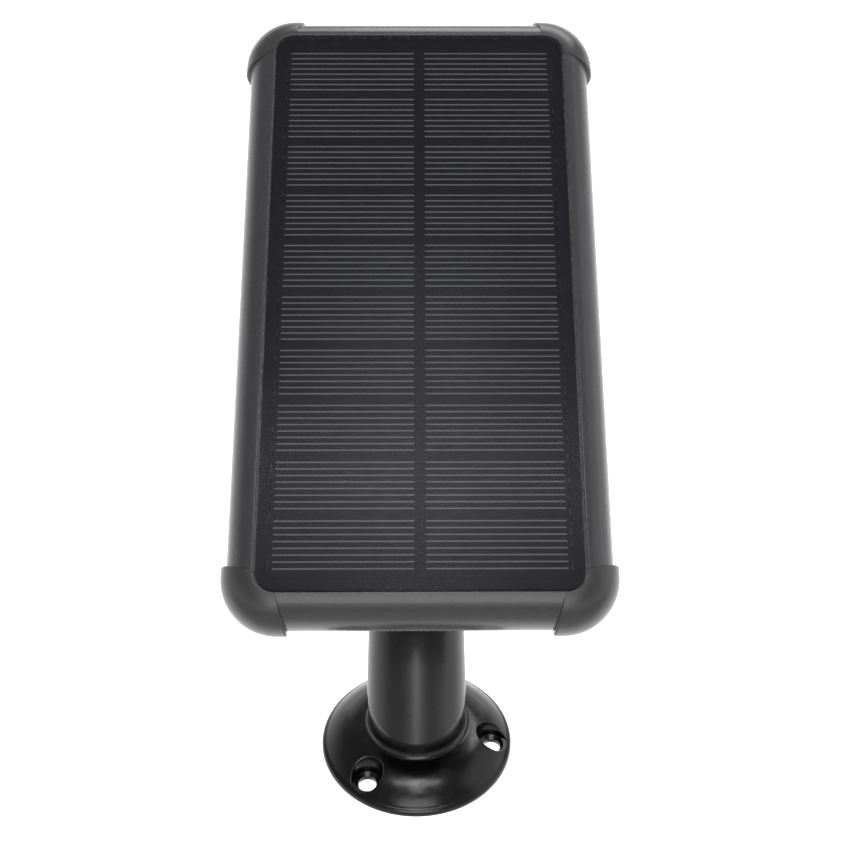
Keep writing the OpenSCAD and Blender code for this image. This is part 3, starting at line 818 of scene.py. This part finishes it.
def screws():
    spots = [at(x * CASE_SCREW_X, y, CASE_SCREW_SEAT) for x in (-1, 1) for y in CASE_SCREW_Y]
    bm = screw_heads(bmesh.new(), spots, 2.8, 2.4, 1.5, 13)
    piece("case_screw_set", bm, PANEL, STEEL, "panel", ["case_screws"], sharp=30)
    spots = [at(x * BRACKET_SCREW_X, y, PLATE_Z) for x in (-1, 1) for y in BRACKET_SCREW_Y]
    bm = screw_heads(bmesh.new(), spots, 3.4, 2.0, 1.8, 10)
    piece("bracket_screw_set", bm, HINGE, STEEL, "panel", ["bracket_screws"], sharp=30)


def cable_gland():
    """A rubber gland with a stepped, tapered neck."""
    outline = [(2.0, 7.6), (5.5, 7.6), (5.9, 7.2), (5.9, 0.0), (7.7, 0.0), (8.0, -0.3), (8.0, -1.4),
               (7.4, -2.0), (5.5, -2.0)]
    for ridge in range(3):
        low = -2.2 - 1.5 * ridge
        wide = 5.1 - 0.3 * ridge
        outline += [(wide - 0.35, low), (wide, low - 0.25), (wide, low - 0.9), (wide - 0.35, low - 1.15)]
    outline += [(3.9, -6.6), (3.5, -7.0), (2.3, -7.0), (2.0, -6.7)]
    bm = lathe(bmesh.new(), outline, 64, at(GLAND_X, GLAND_Y, -THICK))
    piece("cable_gland_boot", bm, PANEL, RUBBER, "panel", ["cable_gland"])


# ---- Camera, lights and floor ----

def camera():
    data = bpy.data.cameras.new("camera")
    data.lens = 49.65
    data.sensor_width = 36
    data.clip_end = 20
    obj = bpy.data.objects.new("camera", data)
    yaw, pitch, roll = (math.radians(angle) for angle in (-0.483, 57.165, 0.161))
    turn = Matrix.Rotation(yaw, 4, "Z") @ Matrix.Rotation(pitch, 4, "X") @ Matrix.Rotation(roll, 4, "Z")
    obj.matrix_world = Matrix.Translation(Vector((0.73, -283.27, 311.94)) * MM) @ turn
    bpy.context.scene.collection.objects.link(obj)
    bpy.context.scene.camera = obj


def softbox(name, place, target, width, height, power):
    """A softbox at a place in metres that faces a target."""
    data = bpy.data.lights.new(name, "AREA")
    data.shape = "RECTANGLE"
    data.size = width
    data.size_y = height
    data.energy = power
    obj = bpy.data.objects.new(name, data)
    obj.location = place
    obj.rotation_euler = (Vector(place) - Vector(target)).to_track_quat("Z", "Y").to_euler()
    bpy.context.scene.collection.objects.link(obj)


# Strengths of the sky at the horizon and overhead, and of the floor's glow, which fades out to the front.
SKY_LOW = 1.1
SKY_HIGH = 0.22
FLOOR_GLOW = 1.1
GLOW_FROM_Y = -0.35
GLOW_FULL_Y = -0.1
FLOOR_DROP = 0.4
FLOOR_REACH = 4.0


def ramp(tree, value, start, end, low, high):
    """A smooth step from low to high as the value goes from start to end."""
    return node(tree, "ShaderNodeMapRange", {"Value": value, "From Min": start, "From Max": end,
                                             "To Min": low, "To Max": high},
                interpolation_type="SMOOTHSTEP").outputs["Result"]


def studio():
    """The sky, and the floor, whose emission is painted light: a glow under and behind the object that fades out
    to the front.
    """
    scene = bpy.context.scene
    scene.view_settings.view_transform = "Standard"
    world = bpy.data.worlds.new("studio")
    world.use_nodes = True
    tree = world.node_tree
    sky = node(tree, "ShaderNodeSeparateXYZ", {0: node(tree, "ShaderNodeTexCoord").outputs["Generated"]})
    level = ramp(tree, sky.outputs["Z"], 0.0, 0.5, SKY_LOW, SKY_HIGH)
    tree.links.new(level, tree.nodes["Background"].inputs["Strength"])
    tree.nodes["Background"].inputs["Color"].default_value = (1, 1, 1, 1)
    scene.world = world
    mesh = bpy.data.meshes.new("floor")
    corners = [(x * FLOOR_REACH, y * FLOOR_REACH, 0) for x, y in ((-1, -1), (1, -1), (1, 1), (-1, 1))]
    mesh.from_pydata(corners, [], [(0, 1, 2, 3)])
    floor = bpy.data.objects.new("floor", mesh)
    floor.location.z = cad_low.z - FLOOR_DROP
    scene.collection.objects.link(floor)
    finish = surface("glowing_floor_finish", (0.85, 0.85, 0.85), 0.6, grain=5.0, variation=0.01,
                     Emission_Color=(1, 1, 1, 1))
    tree = finish.node_tree
    # Painted light: the floor glows from within, strongest under and behind the object, so no shadow shows on it
    # there.
    where = node(tree, "ShaderNodeSeparateXYZ", {0: node(tree, "ShaderNodeTexCoord").outputs["Object"]})
    glow = ramp(tree, where.outputs["Y"], GLOW_FROM_Y, GLOW_FULL_Y, 0.0, FLOOR_GLOW)
    tree.links.new(glow, tree.nodes["Principled BSDF"].inputs["Emission Strength"])
    mesh.materials.append(finish)


camera()
studio()
softbox("key_wide", (0, -0.20, 0.62), (0, -0.02, 0.01), 0.42, 0.10, 0.6)
softbox("key_tall", (0, -0.20, 0.61), (0, -0.02, 0.01), 0.12, 0.34, 0.5)
softbox("front", (0, -1.3, 0.82), (0, 0.0, 0.1), 0.9, 1.0, 9.0)
softbox("right", (1.35, 0.05, 0.8), (0, 0.05, 0.1), 1.2, 1.2, 3.0)
softbox("back", (0, 1.6, 0.55), (0, 0.05, 0.15), 2.2, 0.9, 4.0)
softbox("top_back", (0.35, 0.95, 1.35), (0, 0.05, 0.15), 1.2, 0.7, 12.0)

front_frame()
rear_cover()
for index, corner in enumerate(["upper_right", "upper_left", "lower_left", "lower_right"]):
    corner_bumper("bumper_" + corner, index)
cover_glass()
laminate()
cell_fingers()
arm_tube()
knuckle()
wall_flange()
hinge_bracket()
hinge_bolt()
hinge_washers()
tilt_knob()
screws()
cable_gland()

CAD_LOOKS = {
    "solar_cell": CELL, "cell_board": BOARD, "seal": RUBBER, "gland_nut": KNOB, "friction_disc": RUBBER,
    "screws": STEEL, "pan_bolt": STEEL, "washer": STEEL, "pin": STEEL, "insert": BRASS,
    "charge_board": CIRCUIT, "cell_tabs": TIN, "cell_leads": TIN, "board_choke": FERRITE,
    "board_capacitors": CAN, "board_terminal": TERMINAL,
}
for name, obj in frame["nodes"].items():
    for key, material in CAD_LOOKS.items():
        if key in name:
            obj.data.materials.clear()
            obj.data.materials.append(material)
